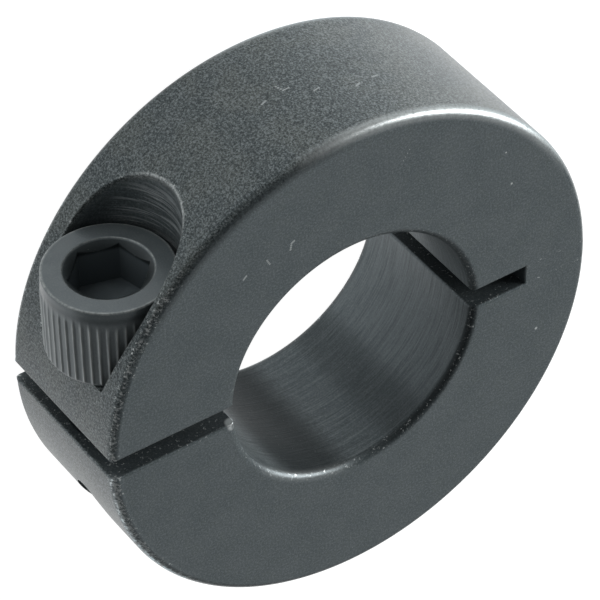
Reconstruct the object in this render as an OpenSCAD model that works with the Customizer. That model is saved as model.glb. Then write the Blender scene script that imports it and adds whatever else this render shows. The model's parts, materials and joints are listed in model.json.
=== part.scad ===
// One-piece clamping shaft collar with its socket-head cap screw.
// The collar is one steel ring with a full split on one side and a relief
// slot from the bore on the other. The thin web that the slot leaves bends
// when the screw pulls the two jaws together, so the ring is drawn as a
// lower jaw, an upper jaw and the web between them.
//
// Frame: millimetres, the bore axis is Z and the origin is on it, half way
// through the collar's width. The split is at -X, the relief slot at +X, and
// the screw lies along Y with its head towards +Y.

/* [Collar] */
// Diameter of the bore
bore_d = 19.05; // [18.9:0.01:19.1]
// Outer diameter of the ring
outer_d = 38.1; // [37.6:0.1:40]
// Width of the ring along the shaft
width = 12.3; // [12:0.1:15]
// Chamfer on both outer rims
outer_chamfer = 0.45; // [0.2:0.05:0.7]
// Chamfer on both ends of the bore
bore_chamfer = 0.4; // [0.2:0.05:0.6]

/* [Split and relief slot] */
// Width of the cut that parts the two jaws
split_w = 1.5; // [1:0.1:2]
// Width of the relief slot opposite the split
slot_w = 1.5; // [1:0.1:2]
// Thickness of the web left outside the relief slot
web_t = 5.15; // [4:0.05:6]

/* [Clamp screw] */
// Distance from the bore axis to the screw axis
screw_offset = 15.1; // [14.6:0.1:15.3]
// Distance of the screw axis from mid-width, towards the front face
screw_shift = 0.55; // [0:0.05:0.6]
// Diameter of the thread's ridges, drawn at its pitch diameter
thread_d = 5.76; // [5.5:0.02:5.8]
// Pitch of the thread
thread_pitch = 0.907; // [0.8:0.001:1]
// Length of the screw under its head
screw_l = 12.2; // [11:0.1:13]
// Diameter over the knurl of the head
head_d = 9.05; // [8.8:0.05:9.3]
// Height of the head
head_h = 6.35; // [5.5:0.05:6.6]
// Ridges in the head's straight knurl
knurl_count = 48; // [30:1:60]
// Width across the flats of the hexagon socket
socket_af = 4.7625; // [4:0.0125:5]
// Depth of the hexagon socket
socket_depth = 3.2; // [2.5:0.1:3.6]
// Diameter of the round lead-in at the mouth of the socket
socket_mouth_d = 6; // [5.8:0.05:6.4]

/* [Screw holes] */
// Height of the head's seat above the middle of the split
seat_y = 5.2; // [4.5:0.1:5.5]
// Diameter of the counterbore for the head
counterbore_d = 9.7; // [9.6:0.05:10]
// Diameter of the clearance hole in the upper jaw
clearance_d = 6.8; // [6.6:0.05:7.2]
// Clearance between the thread and its hole, on the radius
thread_gap = 0.09; // [0.08:0.01:0.15]

/* [Hidden] */
$fn = 96;

bore_r = bore_d / 2;
outer_r = outer_d / 2;
half_w = width / 2;
slot_end = outer_r - web_t;         // radius of the slot's flat end
head_r = head_d / 2;
head_bevel = 0.45;                  // bevel round the top of the head
head_foot = 0.25;                   // bevel round the underside of the head
knurl_depth = 0.16;
head_core_r = head_r - knurl_depth - 0.05; // plain head under the knurl
thread_r = thread_d / 2;
thread_depth = 0.3;
shank_r = thread_r - thread_depth;  // root of the thread
tip_bevel = 0.7;
drill_cone = 0.8;                   // point left by the socket's drill
socket_turn = 44;                   // a corner of the hexagon, from +X, at rest
hole_bevel = 0.35;                  // break at the mouth of the tapped hole
past = 1;                           // how far a cutter runs past a face
steel = [0.29, 0.32, 0.33];
screw_steel = [0.24, 0.27, 0.28];

// The whole ring before it is cut, turned about the bore axis.
module ring_blank() {
    c = outer_chamfer;
    b = bore_chamfer;
    rotate_extrude($fn = 180)
        polygon([
            [bore_r, -half_w + b], [bore_r + b, -half_w],
            [outer_r - c, -half_w], [outer_r, -half_w + c],
            [outer_r, half_w - c], [outer_r - c, half_w],
            [bore_r + b, half_w], [bore_r, half_w - b]
        ]);
}

// Everything above the split on the left and above the slot on the right.
module upper_space(split_gap, slot_gap) {
    reach = outer_r + past;
    translate([-reach, split_gap, -half_w - past])
        cube([reach, reach, width + 2 * past]);
    translate([0, slot_gap, -half_w - past])
        cube([reach, reach, width + 2 * past]);
}

// Moves a shape drawn up +Z from the seat onto the screw's axis, up +Y.
module on_screw_axis() {
    translate([-screw_offset, seat_y, screw_shift])
        rotate([-90, 0, 0])
            children();
}

module lower_jaw() {
    hole_r = thread_r + thread_gap;
    split_face = -seat_y - split_w / 2; // the jaw's split face, seen from the seat
    color(steel)
        difference() {
            intersection() {
                ring_blank();
                mirror([0, 1, 0]) upper_space(split_w / 2, slot_w / 2);
            }
            on_screw_axis() {
                translate([0, 0, -outer_r - seat_y])
                    cylinder(h = outer_r + seat_y, r = hole_r);
                translate([0, 0, split_face - hole_bevel])
                    cylinder(h = hole_bevel, r1 = hole_r, r2 = hole_r + hole_bevel);
            }
        }
}

module upper_jaw() {
    color(steel)
        difference() {
            intersection() {
                ring_blank();
                upper_space(split_w / 2, slot_w / 2);
            }
            on_screw_axis() {
                cylinder(h = outer_r, d = counterbore_d);
                translate([0, 0, -seat_y])
                    cylinder(h = seat_y + past, d = clearance_d);
            }
        }
}

// The web that bends: the metal between the slot's end and the outside.
module flexure_web() {
    color(steel)
        intersection() {
            ring_blank();
            translate([slot_end, -slot_w / 2, -half_w - past])
                cube([web_t + past, slot_w, width + 2 * past]);
        }
}

// Outline of the straight knurl: ridges round the head, one tooth a pitch.
module knurl_outline() {
    step = 360 / knurl_count;
    polygon([
        for (i = [0 : knurl_count - 1], side = [0, 1])
            let (r = head_r - side * knurl_depth, a = (i + side / 2) * step)
                [r * cos(a), r * sin(a)]
    ]);
}

module screw_head() {
    core_r = head_core_r;
    difference() {
        union() {
            cylinder(h = head_foot, r1 = core_r - head_foot, r2 = core_r);
            translate([0, 0, head_foot])
                linear_extrude(head_h - head_bevel - head_foot) knurl_outline();
            translate([0, 0, head_h - head_bevel])
                cylinder(h = head_bevel, r1 = core_r, r2 = core_r - head_bevel / 2);
        }
        hexagon_socket();
    }
}

module hexagon_socket() {
    corner_r = socket_af / 2 / cos(30);
    mouth_r = socket_mouth_d / 2;
    lead_in = mouth_r - socket_af / 2;
    translate([0, 0, head_h - socket_depth])
        rotate([0, 0, socket_turn])
            cylinder(h = socket_depth + past, r = corner_r, $fn = 6);
    translate([0, 0, head_h - socket_depth - drill_cone])
        cylinder(h = drill_cone, r1 = 0.4, r2 = socket_af / 2);
    translate([0, 0, head_h - lead_in])
        cylinder(h = lead_in, r1 = socket_af / 2, r2 = mouth_r);
    translate([0, 0, head_h])
        cylinder(h = past, r = mouth_r);
}

// Shank with thread ridges, one ring for each pitch, turned below the seat.
module threaded_shank() {
    plain_l = 1.2;                  // runout under the head
    turns = floor((screw_l - plain_l - tip_bevel) / thread_pitch);
    crest = thread_pitch / 8;
    thread_top = -plain_l;
    rotate_extrude()
        polygon([
            [0, past],
            [shank_r, past],
            [shank_r, thread_top],
            for (i = [0 : turns - 1])
                let (z = thread_top - i * thread_pitch)
                    each [
                        [thread_r, z - thread_pitch / 2 + crest / 2],
                        [thread_r, z - thread_pitch / 2 - crest / 2],
                        [shank_r, z - thread_pitch]
                    ],
            [shank_r, -screw_l + tip_bevel / 2],
            [shank_r - tip_bevel / 2, -screw_l],
            [0, -screw_l]
        ]);
}

module clamp_screw() {
    color(screw_steel)
        on_screw_axis() {
            screw_head();
            threaded_shank();
        }
}

lower_jaw();
upper_jaw();
flexure_web();
clamp_screw();
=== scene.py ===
"""Looks of a one-piece clamping shaft collar, built round its CAD frame.

Shapes are drawn in millimetres, in the row frame: bore axis Z, split at -X,
clamp screw along Y. to_metres() turns each finished shape into metres.
"""
import json
import math
from types import SimpleNamespace

import bmesh
import bpy
import numpy as np
from mathutils import Matrix, Vector


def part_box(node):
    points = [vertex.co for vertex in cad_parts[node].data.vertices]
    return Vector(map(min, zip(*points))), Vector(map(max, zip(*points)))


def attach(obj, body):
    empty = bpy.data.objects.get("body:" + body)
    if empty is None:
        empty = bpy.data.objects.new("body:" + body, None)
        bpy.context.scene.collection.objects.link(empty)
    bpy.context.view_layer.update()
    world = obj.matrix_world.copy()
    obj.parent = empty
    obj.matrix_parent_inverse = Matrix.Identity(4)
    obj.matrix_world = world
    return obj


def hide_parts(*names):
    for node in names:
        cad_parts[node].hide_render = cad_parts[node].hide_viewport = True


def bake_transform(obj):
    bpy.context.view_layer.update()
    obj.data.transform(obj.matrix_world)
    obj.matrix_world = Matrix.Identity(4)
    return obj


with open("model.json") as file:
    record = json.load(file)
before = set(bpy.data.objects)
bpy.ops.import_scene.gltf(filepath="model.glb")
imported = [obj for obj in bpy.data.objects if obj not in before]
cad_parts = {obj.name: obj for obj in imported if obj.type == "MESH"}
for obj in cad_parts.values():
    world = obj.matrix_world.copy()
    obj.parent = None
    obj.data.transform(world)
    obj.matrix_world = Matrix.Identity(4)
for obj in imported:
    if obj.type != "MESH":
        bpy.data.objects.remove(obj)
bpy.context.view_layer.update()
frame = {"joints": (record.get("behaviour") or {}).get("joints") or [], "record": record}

MM = 0.001

# ---------------------------------------------------------------- sizes, mm


def box_mm(node):
    """Lowest and highest corner of a CAD node, in millimetres."""
    low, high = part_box(node)
    return Vector(low) / MM, Vector(high) / MM


def mount(name):
    """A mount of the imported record, by name."""
    return next(m for m in frame["record"]["mounts"] if m["name"] == name)


def joint_position(name):
    """Where a joint of the frame turns, in millimetres."""
    joint = next(j for j in frame["joints"] if j["name"] == name)
    return Vector(joint["pos_m"]) / MM


LOWER, UPPER = box_mm("lower_jaw"), box_mm("upper_jaw")
SCREW, WEB = box_mm("clamp_screw"), box_mm("flexure_web")
SEAT = joint_position("screw_turn")    # on the screw's axis, under its head

OUTER_R = -LOWER[0].y
BORE_R = mount("bore")["dims"]["r_mm"]
HALF_W = UPPER[1].z
SPLIT = UPPER[0].y                     # half the width of the split
SLOT = WEB[1].y                        # half the width of the relief slot
SLOT_END = WEB[0].x
HEAD_R = (SCREW[1].z - SCREW[0].z) / 2
HEAD_H = SCREW[1].y - SEAT.y
SHANK_L = SEAT.y - SCREW[0].y

RIM_ROUND = 0.62                       # rounding of the outer rims
BORE_ROUND = 0.55
LIP_ROUND = 0.17                       # rounding along the split and the slot
COUNTERBORE_R = 4.85
CLEARANCE_R = 3.4
TAPPED_R = 2.97
COUNTERBORE_ROUND = 0.12
THREAD_LEAD_IN = 0.35                  # the tapped hole's chamfer at the split
CUTTER_MARK_DEPTH = 0.012              # rings that the cutter left in the wall
CUTTER_MARK_STEP = 0.105               # a quarter of the rings' pitch

# ------------------------------------------------------------- mesh helpers


def mesh_object(name, vertices, faces):
    """A new object from millimetre vertices, still in millimetres."""
    mesh = bpy.data.meshes.new(name)
    mesh.from_pydata([tuple(v) for v in vertices], [], faces)
    mesh.validate()
    obj = bpy.data.objects.new(name, mesh)
    bpy.context.scene.collection.objects.link(obj)
    return obj


def recalculate_normals(obj):
    """Turns every face of a closed mesh outwards."""
    shape = bmesh.new()
    shape.from_mesh(obj.data)
    bmesh.ops.recalc_face_normals(shape, faces=shape.faces)
    shape.to_mesh(obj.data)
    shape.free()


def apply_modifiers(obj):
    """Replaces the object's mesh with what its modifiers make of it."""
    bpy.context.view_layer.update()
    graph = bpy.context.evaluated_depsgraph_get()
    final = bpy.data.meshes.new_from_object(obj.evaluated_get(graph))
    obj.modifiers.clear()
    obj.data = final


def cut(obj, cutter):
    """Takes the cutter's volume out of the object and deletes the cutter."""
    boolean = obj.modifiers.new("cut", "BOOLEAN")
    boolean.operation = "DIFFERENCE"
    boolean.solver = "EXACT"
    boolean.object = cutter
    apply_modifiers(obj)
    bpy.data.objects.remove(cutter)


def smooth(obj, angle_deg):
    """Smooth shading, broken where faces meet at more than the angle."""
    shape = bmesh.new()
    shape.from_mesh(obj.data)
    for face in shape.faces:
        face.smooth = True
    for edge in shape.edges:
        sharp = edge.calc_face_angle(0) > math.radians(angle_deg)
        edge.smooth = not sharp
    shape.to_mesh(obj.data)
    shape.free()
    weighted = obj.modifiers.new("normals", "WEIGHTED_NORMAL")
    weighted.keep_sharp = True
    weighted.weight = 80
    apply_modifiers(obj)


def grid_faces(rows, columns):
    """Quads of a grid of points, row after row, closed round each row."""
    faces = []
    for i in range(rows - 1):
        for j in range(columns):
            k = (j + 1) % columns
            faces.append((i * columns + j, i * columns + k,
                          (i + 1) * columns + k, (i + 1) * columns + j))
    return faces


def lathe(name, profile, columns, radius_at=None):
    """A closed turned solid up the screw's axis.

    profile is (radius, height above the seat); its first and last radius are
    0. radius_at(radius, height, angle) may shape each point further.
    """
    vertices = []
    for radius, height in profile[1:-1]:
        for j in range(columns):
            angle = 2 * math.pi * j / columns
            r = radius_at(radius, height, angle) if radius_at else radius
            vertices.append((SEAT.x + r * math.cos(angle), SEAT.y + height,
                             SEAT.z + r * math.sin(angle)))
    rows = len(profile) - 2
    faces = grid_faces(rows, columns)
    for point, first in ((profile[0], 0), (profile[-1], (rows - 1) * columns)):
        vertices.append((SEAT.x, SEAT.y + point[1], SEAT.z))
        centre = len(vertices) - 1
        for j in range(columns):
            faces.append((first + j, first + (j + 1) % columns, centre))
    obj = mesh_object(name, vertices, faces)
    recalculate_normals(obj)
    return obj


# --------------------------------------------------------------- the ring


def arc(radius, start, end, steps):
    """Points on a circle round the bore axis, ends included."""
    angles = np.linspace(start, end, steps + 1)
    return [(radius * math.cos(a), radius * math.sin(a)) for a in angles]


def ring_outline():
    """The ring seen along the bore: one closed line round split and slot."""
    outer = math.pi - math.asin(SPLIT / OUTER_R)
    bore_split = math.pi - math.asin(SPLIT / BORE_R)
    bore_slot = math.asin(SLOT / BORE_R)
    points = arc(OUTER_R, outer, -outer, 540)
    points += arc(BORE_R, -bore_split, -bore_slot, 150)
    points += [(SLOT_END, -SLOT), (SLOT_END, SLOT)]
    points += arc(BORE_R, bore_slot, bore_split, 150)
    return points


def plain_ring():
    """The outline drawn out to the collar's width, with sharp edges."""
    outline = ring_outline()
    count = len(outline)
    vertices = [(x, y, z) for z in (-HALF_W, HALF_W) for x, y in outline]
    faces = grid_faces(2, count)
    faces.append(tuple(range(count)))
    faces.append(tuple(range(2 * count - 1, count - 1, -1)))
    obj = mesh_object("collar_ring", vertices, faces)
    recalculate_normals(obj)
    return obj


def outside_height(x):
    """Height above the split of the ring's outside, at that x."""
    return math.sqrt(max(OUTER_R ** 2 - x ** 2, 0.0))


def counterbore_point(part, t, angle):
    """Radius and height of the counterbore's cutter, t along a part of it."""
    toward = math.cos(angle)
    rim = outside_height(SEAT.x + COUNTERBORE_R * toward)
    outer_rim = outside_height(SEAT.x + (COUNTERBORE_R + COUNTERBORE_ROUND) * toward)
    start = max(rim - COUNTERBORE_ROUND, SEAT.y + 0.02)
    if part == "wall":
        height = t * (start - SEAT.y)
        mark = CUTTER_MARK_DEPTH * math.sin(math.pi / 2 * int(height / CUTTER_MARK_STEP))
        return COUNTERBORE_R + mark * min(1, t * 8, (1 - t) * 8), SEAT.y + height
    if part == "flare":
        end = max(outer_rim + 0.02, start + 0.01)
        height = (1 - t) ** 2 * start + 2 * t * (1 - t) * max(rim, start) + t * t * end
        return COUNTERBORE_R + COUNTERBORE_ROUND * t * t, height
    return COUNTERBORE_R + COUNTERBORE_ROUND + 0.4, OUTER_R + 1.0


def counterbore_cutter():
    """Cutter for the counterbore, flared where it comes out of the outside."""
    columns = 256
    rows = [("wall", t) for t in np.linspace(0, 1, 60)]
    rows += [("flare", t) for t in np.linspace(0, 1, 7)[1:]]
    rows.append(("out", 1.0))
    vertices = []
    for part, t in rows:
        for j in range(columns):
            angle = 2 * math.pi * j / columns
            r, y = counterbore_point(part, t, angle)
            vertices.append((SEAT.x + r * math.cos(angle), y, SEAT.z + r * math.sin(angle)))
    faces = grid_faces(len(rows), columns)
    faces.append(tuple(range(columns)))
    faces.append(tuple(range(len(vertices) - columns, len(vertices))))
    obj = mesh_object("counterbore_cutter", vertices, faces)
    recalculate_normals(obj)
    return obj


def ring():
    """The collar's one piece of steel."""
    obj = plain_ring()
    cut(obj, counterbore_cutter())
    down = -SEAT.y
    cut(obj, lathe("clearance_cutter", [
        (0, 1), (CLEARANCE_R, 1), (CLEARANCE_R, down), (0, down)], 96))
    mouth = down - SPLIT
    cut(obj, lathe("tapped_cutter", [
        (0, down), (TAPPED_R + THREAD_LEAD_IN, down), (TAPPED_R + THREAD_LEAD_IN, mouth),
        (TAPPED_R, mouth - THREAD_LEAD_IN), (TAPPED_R, down - OUTER_R),
        (0, down - OUTER_R)], 96))
    round_edges(obj)
    smooth(obj, 40)
    return obj


def rounding_of(middle, direction):
    """How far to round an edge of the plain ring, or 0."""
    radius = math.hypot(middle.x, middle.y)
    at_face = abs(abs(middle.z) - HALF_W) < 1e-3
    lip = abs(abs(middle.y) - SPLIT) < 1e-3 and radius > BORE_R - 0.05
    if at_face and abs(radius - OUTER_R) < 0.01:
        return RIM_ROUND
    if at_face and abs(radius - BORE_R) < 0.01:
        return BORE_ROUND
    if at_face and (lip or abs(middle.x - SLOT_END) < 1e-3):
        return LIP_ROUND
    upright = abs(direction.z) > 0.99
    at_wall = min(abs(radius - OUTER_R), abs(radius - BORE_R)) < 0.01
    if upright and at_wall and abs(abs(middle.y) - SPLIT) < 1e-3:
        return LIP_ROUND
    return 0


def round_edges(obj):
    """Rounds the rims and the lips of the cuts, each by its own amount."""
    shape = bmesh.new()
    shape.from_mesh(obj.data)
    weight = shape.edges.layers.float.new("bevel_weight_edge")
    for edge in shape.edges:
        if edge.calc_face_angle(0) > math.radians(35):
            a, b = (v.co for v in edge.verts)
            size = rounding_of((a + b) / 2, (b - a).normalized())
            edge[weight] = size / RIM_ROUND
    shape.to_mesh(obj.data)
    shape.free()
    bevel = obj.modifiers.new("round", "BEVEL")
    bevel.limit_method = "WEIGHT"
    bevel.width = RIM_ROUND
    bevel.segments = 5
    bevel.use_clamp_overlap = False
    apply_modifiers(obj)


# --------------------------------------------------------------- the screw

KNURL_COUNT = 48
KNURL_HEIGHT = 0.10
SOCKET_AF = 4.7625
SOCKET_DEPTH = 3.2
SOCKET_MOUTH_R = 3.0
TOP_R = 4.36
THREAD_PITCH = 0.907
THREAD_R = 2.88
THREAD_DEPTH = 0.33
SEAT_GAP = 0.01                        # under the head, so the two faces don't cross
SOCKET_TURN = math.radians(14)         # of the hexagon, from a flat at +X


def knurl(angle, height):
    """Height of the knurl's ridges above the head's plain side."""
    phase = (angle * KNURL_COUNT / (2 * math.pi)) % 1 - 0.5
    ridge = math.exp(-(phase / 0.15) ** 2)
    low, high = 0.55, HEAD_H - 1.25
    fade = 1 / (1 + math.exp((height - high) / 0.11))
    fade *= 1 / (1 + math.exp((low - 0.25 - height) / 0.05))
    return KNURL_HEIGHT * ridge * fade


def hexagon_radius(angle):
    """Distance from the socket's axis to its wall."""
    side = math.radians(60)
    turned = angle + SOCKET_TURN
    return SOCKET_AF / 2 / math.cos((turned + side / 2) % side - side / 2)


def head_profile():
    """Rows of the head from its underside, over the top, into the socket."""
    body = HEAD_R - KNURL_HEIGHT
    rows = [(0, SEAT_GAP), (2.0, SEAT_GAP), (body - 0.42, SEAT_GAP), (body - 0.3, 0.02)]
    rows += [(body - 0.28 * (1 - math.sin(a)), 0.30 - 0.28 * math.cos(a))
             for a in np.linspace(0.15, math.pi / 2, 6)]
    rows += [(body, h) for h in np.linspace(0.36, HEAD_H - 0.62, 40)]
    rows += [(body - (body - TOP_R - 0.05) * (1 - math.cos(a)), HEAD_H - 0.5 + 0.42 * math.sin(a))
             for a in np.linspace(0.05, math.pi / 2 - 0.25, 7)]
    rows += [(TOP_R, HEAD_H - 0.02), (TOP_R - 0.06, HEAD_H)]
    rows += [(r, HEAD_H) for r in (4.0, 3.6, SOCKET_MOUTH_R + 0.1)]
    rows += [(SOCKET_MOUTH_R + 0.02, HEAD_H - 0.015)]
    rows += [(SOCKET_MOUTH_R - d, HEAD_H - 0.05 - 0.8 * d)
             for d in np.linspace(0.03, SOCKET_MOUTH_R - SOCKET_AF / 2, 12)]
    floor = HEAD_H - SOCKET_DEPTH
    rows += [(1.0, h) for h in np.linspace(HEAD_H - 0.75, floor, 14)]
    rows += [(-1.0, floor - 0.02), (-0.6, floor - 0.35), (0, floor - 0.9)]
    return rows


def head_radius(radius, height, angle):
    """Shapes a row of the head: the knurl outside, the hexagon inside."""
    if radius < 0:                     # the drill's cone under the socket
        return -radius * 2.1
    in_socket = height < HEAD_H - 0.04 and radius < SOCKET_MOUTH_R
    if in_socket and height > HEAD_H - SOCKET_DEPTH - 0.01:
        return max(radius, hexagon_radius(angle))
    if radius > HEAD_R - KNURL_HEIGHT - 0.05 and height < HEAD_H - 0.45:
        return radius + knurl(angle, height)
    return radius


def screw_head():
    """Head with its straight knurl, bevelled top and hexagon socket."""
    return lathe("screw_head", head_profile(), KNURL_COUNT * 9, head_radius)


def threaded_shank():
    """Shank with a right-hand thread that runs out under the head."""
    core = THREAD_R - THREAD_DEPTH
    heights = np.arange(0.0, -SHANK_L + 0.55, -THREAD_PITCH / 12)

    def thread(radius, height, angle):
        turn = (height / THREAD_PITCH + angle / (2 * math.pi)) % 1
        flank = 1 - min(1, abs(turn - 0.5) / 0.44)
        ridge = min(1, flank * 1.15)
        run_in = min(1, max(0, (-height - 0.9) / 0.6))
        run_out = min(1, max(0, (SHANK_L + height - 0.35) / 0.5))
        if radius < core - 0.01:
            return radius
        return radius + THREAD_DEPTH * ridge * run_in * run_out

    rows = [(0, 0.3), (core, 0.3)] + [(core, h) for h in heights]
    rows += [(core - 0.12, -SHANK_L + 0.3), (core - 0.45, -SHANK_L + 0.02),
             (core - 0.6, -SHANK_L), (0, -SHANK_L)]
    return lathe("screw_shank", rows, 96, thread)


def join(name, objects):
    """Puts objects into one new piece, as separate shells of it."""
    shape = bmesh.new()
    for obj in objects:
        shape.from_mesh(obj.data)
    mesh = bpy.data.meshes.new(name)
    shape.to_mesh(mesh)
    shape.free()
    for obj in objects:
        bpy.data.objects.remove(obj)
    joined = bpy.data.objects.new(name, mesh)
    bpy.context.scene.collection.objects.link(joined)
    return joined


def to_metres(obj):
    """Ends the millimetre stage and keeps each point's rest place in mm."""
    mesh = obj.data
    rest = np.empty(len(mesh.vertices) * 3, np.float32)
    mesh.vertices.foreach_get("co", rest)
    attribute = mesh.attributes.new("rest_mm", "FLOAT_VECTOR", "POINT")
    attribute.data.foreach_set("vector", rest)
    mesh.transform(Matrix.Scale(MM, 4))


# --------------------------------------------------------------- materials

OXIDE_DARK = (0.056, 0.069, 0.073, 1.0)
OXIDE_LIGHT = (0.070, 0.083, 0.087, 1.0)
OXIDE_GREEN = (0.070, 0.084, 0.080, 1.0)
OXIDE_WARM = (0.094, 0.105, 0.099, 1.0)
GRAIN_LIGHT = (0.185, 0.210, 0.216, 1.0)
GRAIN_DARK = (0.018, 0.022, 0.024, 1.0)
# Painted light on the bore's wall
PAINTED_BORE_LIGHT = (0.190, 0.215, 0.225, 1.0)
TURNED_LIGHT = (0.220, 0.245, 0.250, 1.0)
TURNED_DARK = (0.020, 0.025, 0.027, 1.0)
# Painted shade on the rims and in the bore
PAINTED_SHADE = (0.014, 0.017, 0.018, 1.0)
# Painted shade in the cuts and the counterbore
PAINTED_SHADE_WALL = (0.022, 0.028, 0.031, 1.0)
# Real cutter marks, brightened with painted light on the counterbore's lit side
PAINTED_LIGHT_CUTTER_MARK = (0.330, 0.360, 0.370, 1.0)
SCUFFED = (0.150, 0.172, 0.180, 1.0)
# Bare steel of real wear, also the colour of the painted highlights
BARE_STEEL_AND_HIGHLIGHT = (0.46, 0.49, 0.49, 1.0)

SCREW_DARK = (0.062, 0.075, 0.080, 1.0)
SCREW_LIGHT = (0.082, 0.096, 0.100, 1.0)
SCREW_GRAIN = (0.115, 0.130, 0.134, 1.0)
SCREW_SIDE = (0.190, 0.205, 0.208, 1.0)
# Painted shade under the rim of the head's top
SCREW_UNDER_LIP_PAINTED_SHADE = (0.022, 0.026, 0.028, 1.0)
# Painted shade on the socket's cone
SOCKET_CONE_PAINTED_SHADE = (0.012, 0.015, 0.016, 1.0)
# Painted light deep in the socket
SOCKET_DEEP_PAINTED_LIGHT = (0.085, 0.103, 0.112, 1.0)
SCREW_BARE = (0.36, 0.38, 0.37, 1.0)

# Short bright marks on the outside, from end to end: degrees from +X, then z
OUTSIDE_SCRATCHES = (
    ((93.7, -0.7), (93.2, -0.1)),
    ((93.2, -0.1), (92.0, -0.1)),
    ((98.6, 0.1), (97.5, 0.0)),
    ((88.4, 1.1), (87.2, 1.0)),
    ((80.4, 2.0), (79.3, 1.8)),
    ((75.5, 1.5), (74.1, 1.4)),
)
OUTSIDE_SCRATCH_REACH = 0.09

# Marks on the front face: x and y of each end, then half the mark's width
FACE_SCRATCHES = (
    ((-4.9, 11.9), (-4.8, 12.4), 0.10),
    ((-4.8, 12.4), (-4.6, 12.5), 0.10),
    ((-6.7, 11.9), (-6.5, 11.5), 0.08),
    ((-8.5, 11.2), (-8.3, 11.4), 0.09),
    ((3.9, 15.0), (4.4, 15.7), 0.05),
)
FACE_NICKS = (
    ((14.9, -5.3), 0.13),
    ((12.1, 11.7), 0.08),
    ((12.6, 8.8), 0.10),
)
LIP_NICK = (-9.75, -SPLIT - 0.1, HALF_W - 0.2)
LIP_NICK_REACH = 0.55


class Shader:
    """A material's node tree, with short calls to add and join nodes."""

    def __init__(self, name):
        self.material = bpy.data.materials.new(name)
        self.material.use_nodes = True
        self.tree = self.material.node_tree
        self.surface = self.tree.nodes["Principled BSDF"]

    def add(self, kind, inputs=(), **settings):
        """A new node; inputs maps socket names to values or sockets."""
        made = self.tree.nodes.new(kind)
        for key, value in settings.items():
            setattr(made, key, value)
        for key, value in dict(inputs).items():
            self.plug(made.inputs[key], value)
        return made

    def plug(self, socket, value):
        """Sets a socket to a value, or links another socket to it."""
        if isinstance(value, bpy.types.NodeSocket):
            self.tree.links.new(value, socket)
        else:
            socket.default_value = value

    def finish(self, **values):
        """Sets the surface's inputs, named with _ for a space; the material."""
        for name, value in values.items():
            self.plug(self.surface.inputs[name.replace("_", " ")], value)
        return self.material

    def math(self, operation, a, b=0.0):
        """A maths node's result."""
        return self.add("ShaderNodeMath", {0: a, 1: b}, operation=operation).outputs[0]

    def plus(self, a, b):
        """a and b added."""
        return self.math("ADD", a, b)

    def minus(self, a, b):
        """b taken from a."""
        return self.math("SUBTRACT", a, b)

    def times(self, first, *others):
        """All the values multiplied."""
        for other in others:
            first = self.math("MULTIPLY", first, other)
        return first

    def most(self, first, *others):
        """The largest of the values."""
        for other in others:
            first = self.math("MAXIMUM", first, other)
        return first

    def ramp(self, value, low, high, out_low=0.0, out_high=1.0):
        """value from low..high smoothly onto out_low..out_high."""
        made = self.add("ShaderNodeMapRange", {
            "Value": value, "From Min": low, "From Max": high,
            "To Min": out_low, "To Max": out_high})
        made.interpolation_type = "SMOOTHSTEP"
        return made.outputs["Result"]

    def blend(self, factor, a, b):
        """Colour a where factor is 0 and b where it is 1."""
        made = self.add("ShaderNodeMix", data_type="RGBA")
        self.plug(made.inputs[0], factor)
        self.plug(made.inputs[6], a)
        self.plug(made.inputs[7], b)
        return made.outputs[2]

    def bump(self, height, distance, strength):
        """A bump of height over distance, in metres."""
        return self.add("ShaderNodeBump", {
            "Height": height, "Distance": distance, "Strength": strength}).outputs[0]


class SteelShader(Shader):
    """A shader that knows each point's place at rest, in millimetres."""

    def __init__(self, name):
        super().__init__(name)
        self.rest = self.add("ShaderNodeAttribute", attribute_name="rest_mm").outputs["Vector"]
        self.x, self.y, self.z = self.add("ShaderNodeSeparateXYZ", {0: self.rest}).outputs
        self.from_bore = self.length(self.x, self.y)
        self.from_screw = self.length(self.minus(self.x, SEAT.x), self.minus(self.z, SEAT.z))

    def length(self, a, b):
        """Length of the vector (a, b)."""
        return self.math("SQRT", self.plus(self.times(a, a), self.times(b, b)))

    def noise(self, scale, detail=3.0, roughness=0.55, stretch=None):
        """Noise from 0 to 1, scale in cells per millimetre along each axis."""
        place = self.rest
        if stretch is not None:
            place = self.add("ShaderNodeMapping", {"Vector": place, "Scale": stretch}).outputs[0]
        return self.add("ShaderNodeTexNoise", {
            "Vector": place, "Scale": scale, "Detail": detail,
            "Roughness": roughness}).outputs["Fac"]

    def near(self, value, target, reach):
        """1 where value is at target, falling to 0 a reach away."""
        gap = self.math("ABSOLUTE", self.minus(value, target))
        return self.ramp(gap, reach, 0.0)

    def facing(self, degrees, narrow, wide):
        """1 within narrow degrees of a direction round the bore, 0 beyond wide."""
        toward = math.radians(degrees)
        along = self.plus(self.times(self.x, math.cos(toward)), self.times(self.y, math.sin(toward)))
        cosine = self.math("DIVIDE", along, self.from_bore)
        return self.ramp(cosine, math.cos(math.radians(wide)), math.cos(math.radians(narrow)))

    def spot(self, place, reach):
        """1 round a place, falling to 0 a reach away."""
        gap = self.add("ShaderNodeVectorMath", {0: self.rest, 1: place}, operation="DISTANCE")
        return self.ramp(gap.outputs["Value"], reach, reach * 0.6)

    def scratch(self, start, end, reach):
        """1 along a short straight mark, falling to 0 a reach to its sides."""
        places = [Vector(start).lerp(Vector(end), t) for t in (0.0, 0.33, 0.67, 1.0)]
        return self.most(*[self.spot(tuple(place), reach) for place in places])


def on_outside(degrees, z):
    """A place on the ring's outside."""
    toward = math.radians(degrees)
    return OUTER_R * math.cos(toward), OUTER_R * math.sin(toward), z


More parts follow.
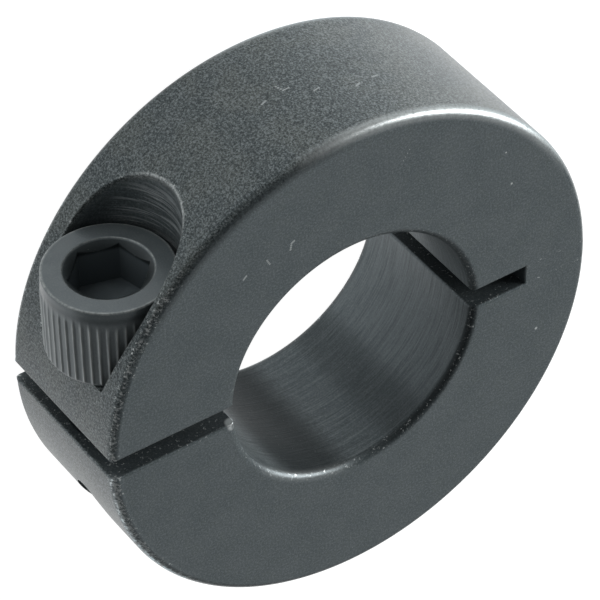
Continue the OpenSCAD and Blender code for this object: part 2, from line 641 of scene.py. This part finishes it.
def collar_regions(s):
    """Where on the ring a point lies, each region from 0 to 1."""
    at = SimpleNamespace()
    depth = s.math("ABSOLUTE", s.z)
    across = s.math("ABSOLUTE", s.y)
    at.outside = s.ramp(s.from_bore, OUTER_R - 0.45, OUTER_R - 0.1)
    at.bore = s.ramp(s.from_bore, BORE_R + 0.2, BORE_R + 0.05)
    at.rim = s.times(s.near(s.from_bore, OUTER_R - 0.15, 0.75), s.near(depth, HALF_W - 0.15, 0.75))
    at.inner_rim = s.times(s.near(s.from_bore, OUTER_R - 0.5, 0.75),
                           s.near(depth, HALF_W - 0.05, 0.4))
    at.bore_rim = s.times(s.near(s.from_bore, BORE_R + 0.15, 0.6),
                          s.near(depth, HALF_W - 0.15, 0.6))
    at.lips = s.times(s.near(across, SPLIT, 0.35), s.ramp(s.from_bore, BORE_R - 0.2, BORE_R))
    at.mouth = s.times(s.near(s.from_screw, COUNTERBORE_R, 0.5), at.outside, s.ramp(s.y, 3.0, 5.0))
    at.by_split = s.ramp(s.x, -9.0, -17.0)
    at.lower_rim = s.times(at.rim, at.by_split, s.ramp(s.y, 3.0, -1.0))

    # The side of the counterbore nearest to the bore, and its mouth there, both brightened with
    # painted light
    toward_bore = s.math("DIVIDE", s.minus(s.x, SEAT.x), COUNTERBORE_R)
    in_hole = s.times(s.ramp(s.from_screw, COUNTERBORE_R + 0.05, COUNTERBORE_R - 0.03),
                      s.ramp(s.from_bore, OUTER_R - 0.1, OUTER_R - 1.2), s.ramp(s.y, 0.0, 0.5))
    at.lit_wall = s.times(in_hole, s.ramp(toward_bore, 0.45, 0.85))
    at.lit_mouth = s.times(s.near(s.from_screw, COUNTERBORE_R + 0.06, 0.14), at.outside,
                           s.ramp(toward_bore, 0.6, 0.95), s.ramp(s.z, -3.6, -1.4))

    # Cut and bored walls that the light and the tumbling hardly reach, darkened with painted shade
    in_cut = s.times(s.ramp(across, SPLIT + 0.05, SPLIT - 0.02),
                     s.ramp(depth, HALF_W - 0.02, HALF_W - 0.25),
                     s.ramp(s.from_bore, OUTER_R - 0.02, OUTER_R - 0.3))
    at.hidden = s.minus(s.most(in_cut, in_hole), s.times(at.lit_wall, 0.6))
    return at


def collar_noises(s):
    """The noises that the collar's colour, wear and bumps share."""
    return SimpleNamespace(
        mottle=s.noise(0.45, 4.0), cloud=s.noise(2.2, 3.0), patches=s.noise(0.22, 2.0),
        grain=s.noise(7.0, 2.0, 0.8), grit=s.noise(4.5, 3.0, 0.7), fleck=s.noise(8.0, 1.5, 0.7),
        turned=s.noise(1.0, 3.0, 0.7, (0.35, 0.35, 7.0)),
        cutter=s.noise(1.0, 2.0, 0.6, (0.25, 7.0, 0.25)))


def darkened(s, at, noise):
    """Where painted shade darkens the rims and the bore, from 0 to 1."""
    # Painted shade: a band on the outer rim, the bore's rim toward 322 degrees and the lower bore
    painted_rim_shade = s.times(at.inner_rim, s.facing(118.0, 14.0, 36.0),
                    s.ramp(noise.grit, 0.3, 0.6, 1.0, 0.7))
    bore_shade = s.times(at.bore_rim, s.facing(322.0, 26.0, 62.0))
    painted_lower_bore_shade = s.times(s.most(s.facing(250.0, 6.0, 22.0), s.times(s.facing(297.0, 2.0, 14.0), 0.45)),
                      at.bore)
    return s.most(s.times(painted_rim_shade, 0.88), s.times(painted_lower_bore_shade, 0.8), s.times(bore_shade, 0.8))


def collar_colour(s, at, noise, dark):
    """The oxide's colour before any wear, with painted light on the bore and the counterbore and
    painted shade on the rims, the bore, the cuts and the counterbore.
    """
    base = s.blend(s.ramp(noise.mottle, 0.3, 0.7), OXIDE_DARK, OXIDE_LIGHT)
    base = s.blend(s.ramp(noise.cloud, 0.45, 0.75, 0.0, 0.5), base, OXIDE_GREEN)
    base = s.blend(s.times(at.outside, s.ramp(noise.patches, 0.42, 0.6, 0.2, 0.8)), base, OXIDE_WARM)
    contrast = s.plus(0.36, s.times(at.outside, 0.54))
    base = s.blend(s.times(s.ramp(noise.grain, 0.50, 0.64), contrast), base, GRAIN_LIGHT)
    base = s.blend(s.times(s.ramp(noise.grain, 0.50, 0.36), contrast), base, GRAIN_DARK)

    # Painted light: the bore a little lighter all round, most towards 338 degrees
    painted_bore_light = s.most(s.times(at.bore, s.facing(338.0, 14.0, 46.0), 0.40), s.times(at.bore, 0.08))
    base = s.blend(painted_bore_light, base, PAINTED_BORE_LIGHT)
    base = s.blend(s.times(s.ramp(noise.turned, 0.50, 0.66), at.bore, 0.30), base, TURNED_LIGHT)
    base = s.blend(s.times(s.ramp(noise.turned, 0.50, 0.36), at.bore, 0.40), base, TURNED_DARK)

    # Painted shade on the rims and in the bore
    base = s.blend(dark, base, PAINTED_SHADE)
    # Painted shade in the cuts and the counterbore, less on its lit side
    base = s.blend(s.times(at.hidden, 0.8), base, PAINTED_SHADE_WALL)
    # Cutter marks brightened with painted light on the counterbore's lit side
    base = s.blend(s.times(s.ramp(noise.cutter, 0.48, 0.62), at.lit_wall, 0.75), base, PAINTED_LIGHT_CUTTER_MARK)
    return s.blend(s.times(at.lower_rim, 0.45), base, SCUFFED)


def collar_marks(s):
    """Single scratches and nicks down to bare steel, from 0 to 1."""
    marks = [s.times(s.scratch(on_outside(*start), on_outside(*end), OUTSIDE_SCRATCH_REACH), 0.55)
             for start, end in OUTSIDE_SCRATCHES]
    marks += [s.times(s.scratch((*start, HALF_W), (*end, HALF_W), reach), 0.6)
              for start, end, reach in FACE_SCRATCHES]
    marks += [s.spot((*place, HALF_W), reach) for place, reach in FACE_NICKS]
    marks.append(s.spot(LIP_NICK, LIP_NICK_REACH))
    return s.most(*marks)


def collar_wear_and_highlights(s, at, noise, painted_rim_highlight):
    """Where the oxide is worn to bare steel, from 0 to 1, with painted highlights on the rims and the
    counterbore's mouth.
    """
    edge = s.most(s.times(at.rim, s.ramp(at.by_split, 0.0, 1.0, 0.12, 1.0)),
                  s.times(at.bore_rim, 0.6), s.times(at.lips, 0.35), s.times(at.mouth, 0.55))
    chance = s.plus(s.times(edge, 0.16), s.times(at.lower_rim, 0.07))
    worn = s.times(s.ramp(s.plus(noise.grit, chance), 0.66, 0.78), s.ramp(edge, 0.05, 0.35))
    specks = s.times(s.ramp(noise.fleck, 0.69, 0.77), s.ramp(noise.cloud, 0.40, 0.65, 0.1, 0.8))
    # Painted highlight on the counterbore's mouth, on its side toward the bore
    mouth = s.times(at.lit_mouth, s.ramp(noise.grit, 0.3, 0.6, 0.05, 0.6))
    return s.most(worn, s.times(specks, 0.45), painted_rim_highlight, mouth, collar_marks(s))


def collar_steel():
    """Black-oxide steel, tumbled: fine grain outside, smoother faces."""
    s = SteelShader("collar_black_oxide")
    at = collar_regions(s)
    noise = collar_noises(s)
    # Painted highlights where the lamps catch the outer rim and the bore's rim
    painted_highlight = s.most(s.times(at.rim, s.facing(64.0, 16.0, 42.0)),
                      s.times(at.bore_rim, s.facing(243.0, 14.0, 30.0), 0.32))
    painted_rim_highlight = s.times(painted_highlight, s.ramp(noise.grit, 0.25, 0.6, 0.55, 0.95))
    dark = darkened(s, at, noise)
    bare = collar_wear_and_highlights(s, at, noise, painted_rim_highlight)

    rough = s.plus(s.ramp(noise.grit, 0.25, 0.75, 0.30, 0.40), s.times(at.hidden, 0.3))
    rough = s.plus(s.minus(rough, s.times(at.rim, 0.06)), s.times(painted_rim_highlight, 0.09))

    shine = s.minus(0.5, s.times(s.most(at.hidden, dark), 0.42))
    duller = s.times(at.outside, s.facing(128.0, 22.0, 68.0))
    shine = s.most(s.minus(shine, s.times(duller, 0.28)), 0.0)

    grain = s.times(s.plus(noise.grain, s.times(noise.grit, 0.8)),
                    s.plus(0.35, s.times(at.outside, 0.5)))
    ridges = s.times(noise.turned, at.bore, 1.6)
    return s.finish(
        Base_Color=s.blend(bare, collar_colour(s, at, noise, dark), BARE_STEEL_AND_HIGHLIGHT),
        Roughness=rough,
        Metallic=s.times(bare, 0.9),
        Normal=s.bump(s.plus(grain, ridges), 0.014 * MM, 0.9),
        Specular_IOR_Level=shine,
        Specular_Tint=(0.74, 0.90, 0.98, 1.0))


def screw_steel():
    """Black-oxide screw: a little smoother than the collar, with painted shade under the top's rim
    and in the socket's mouth, and painted light deeper in the socket.
    """
    s = SteelShader("screw_black_oxide")
    mottle = s.noise(0.8, 4.0)
    grain = s.noise(9.0, 3.0, 0.6)
    scuff = s.noise(1.5, 3.0, 0.55, (3.0, 0.5, 3.0))
    top = SEAT.y + HEAD_H

    side = s.ramp(s.from_screw, TOP_R + 0.02, TOP_R + 0.1)
    # Painted shade under the rim of the head's top
    painted_under_lip_shade = s.times(s.near(s.y, top - 0.72, 0.42), side)
    socket = s.times(s.ramp(s.from_screw, SOCKET_MOUTH_R - 0.05, SOCKET_MOUTH_R - 0.12),
                     s.ramp(s.y, top - 0.02, top - 0.5, 0.68, 1.0))
    ridge = s.times(s.ramp(s.from_screw, HEAD_R - 0.08, HEAD_R - 0.01),
                    s.ramp(s.y, SEAT.y, SEAT.y + 0.3))
    top_rim = s.times(s.near(s.from_screw, TOP_R, 0.20), s.near(s.y, top, 0.14))
    socket_rim = s.times(s.near(s.from_screw, SOCKET_MOUTH_R, 0.07), s.near(s.y, top, 0.2))

    base = s.blend(s.ramp(mottle, 0.3, 0.7), SCREW_DARK, SCREW_LIGHT)
    base = s.blend(s.ramp(grain, 0.4, 0.7, 0.0, 0.5), base, SCREW_GRAIN)
    base = s.blend(s.times(side, s.ramp(s.y, top - 0.5, top - 1.2, 0.0, 0.35)), base, SCREW_SIDE)
    # Painted shade under the top's rim
    base = s.blend(s.times(painted_under_lip_shade, 0.85), base, SCREW_UNDER_LIP_PAINTED_SHADE)
    # Painted shade on the socket's cone, painted light deeper in
    in_socket = s.blend(s.ramp(s.y, top - 0.5, top - 0.8), SOCKET_CONE_PAINTED_SHADE, SOCKET_DEEP_PAINTED_LIGHT)
    base = s.blend(s.times(socket, 0.92), base, in_socket)

    worn = s.times(s.most(ridge, top_rim, socket_rim), s.ramp(scuff, 0.35, 0.65, 0.22, 0.65))
    specks = s.times(s.ramp(grain, 0.66, 0.76), s.ramp(scuff, 0.45, 0.65, 0.0, 0.5))
    bare = s.most(specks, worn)
    return s.finish(
        Base_Color=s.blend(bare, base, SCREW_BARE),
        Roughness=s.ramp(grain, 0.3, 0.7, 0.28, 0.38),
        Metallic=s.times(bare, 0.6),
        Normal=s.bump(grain, 0.010 * MM, 0.6),
        Specular_IOR_Level=s.minus(0.6, s.times(socket, 0.42)),
        Specular_Tint=(0.80, 0.92, 0.98, 1.0))


def floor_white():
    """Matt white that glows a little, so that no shadow shows on it."""
    s = Shader("floor_white")
    return s.finish(
        Base_Color=(0.30, 0.30, 0.30, 1),
        Roughness=0.9,
        Emission_Color=(1, 1, 1, 1),
        Emission_Strength=0.98)


# ------------------------------------------------------------------- stage

CAMERA_AZIMUTH = 121.28                # degrees from +X towards +Y
CAMERA_ELEVATION = 38.44               # degrees from the XY plane
CAMERA_ROLL = -1.47
CAMERA_DISTANCE = 0.2823
FLOOR_HALF = 1.5
FLOOR_GAP = 0.00002                    # below the ring, so the faces don't cross
WORLD_STRENGTH = 0.2


def put(name, data):
    """A new object in the scene."""
    obj = bpy.data.objects.new(name, data)
    bpy.context.scene.collection.objects.link(obj)
    return obj


def camera():
    """A long lens from the photograph's side, with +Y up in the picture."""
    data = bpy.data.cameras.new("camera")
    data.sensor_width = 36.0
    data.lens = 253.1
    data.shift_x = -0.0058
    data.shift_y = 0.0100
    data.clip_start = 0.01
    data.clip_end = 10
    a, e = math.radians(CAMERA_AZIMUTH), math.radians(CAMERA_ELEVATION)
    back = Vector((math.cos(e) * math.cos(a), math.cos(e) * math.sin(a), math.sin(e)))
    right = Vector((0, 1, 0)).cross(back).normalized()
    turn = Matrix((right, back.cross(right), back)).transposed()
    turn = turn @ Matrix.Rotation(math.radians(CAMERA_ROLL), 3, "Z")
    obj = put("camera", data)
    obj.matrix_world = Matrix.Translation(back * CAMERA_DISTANCE) @ turn.to_4x4()
    bpy.context.scene.camera = obj


def softbox(name, direction, distance, size, power):
    """A white area light that faces the collar from a direction."""
    data = bpy.data.lights.new(name, "AREA")
    data.shape = "RECTANGLE"
    data.size, data.size_y = size
    data.energy = power
    obj = put(name, data)
    place = Vector(direction).normalized() * distance
    obj.location = place
    obj.rotation_euler = place.to_track_quat("Z", "Y").to_euler()


def floor():
    """A pale sheet that the collar lies on."""
    half = FLOOR_HALF
    level = -HALF_W * MM - FLOOR_GAP
    corners = [(-half, -half, level), (half, -half, level), (half, half, level), (-half, half, level)]
    mesh = bpy.data.meshes.new("floor")
    mesh.from_pydata(corners, [], [(0, 1, 2, 3)])
    mesh.materials.append(floor_white())
    put("floor", mesh)


def studio():
    """Soft white light: two boxes for the bright rims, a weak fill below."""
    world = bpy.data.worlds.new("studio")
    bpy.context.scene.world = world
    world.use_nodes = True
    background = world.node_tree.nodes["Background"]
    background.inputs["Color"].default_value = (1, 1, 1, 1)
    background.inputs["Strength"].default_value = WORLD_STRENGTH
    softbox("right_softbox", (0.93, 0.10, 0.33), 0.5, (0.20, 0.34), 1.7)
    softbox("upper_softbox", (0.78, 0.36, 0.50), 0.5, (0.22, 0.22), 1.3)
    softbox("front_fill", (0.41, -0.67, 0.70), 0.6, (0.40, 0.40), 0.3)
    bpy.context.scene.view_settings.view_transform = "Standard"


# ---------------------------------------------------------------- assembly

camera()
floor()
studio()

collar = ring()
to_metres(collar)
collar.data.materials.clear()
collar.data.materials.append(collar_steel())
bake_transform(collar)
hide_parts("lower_jaw", "upper_jaw", "flexure_web")

screw = join("socket_head_screw", [screw_head(), threaded_shank()])
smooth(screw, 50)
to_metres(screw)
screw.data.materials.append(screw_steel())
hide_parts("clamp_screw")
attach(screw, "clamp_screw")
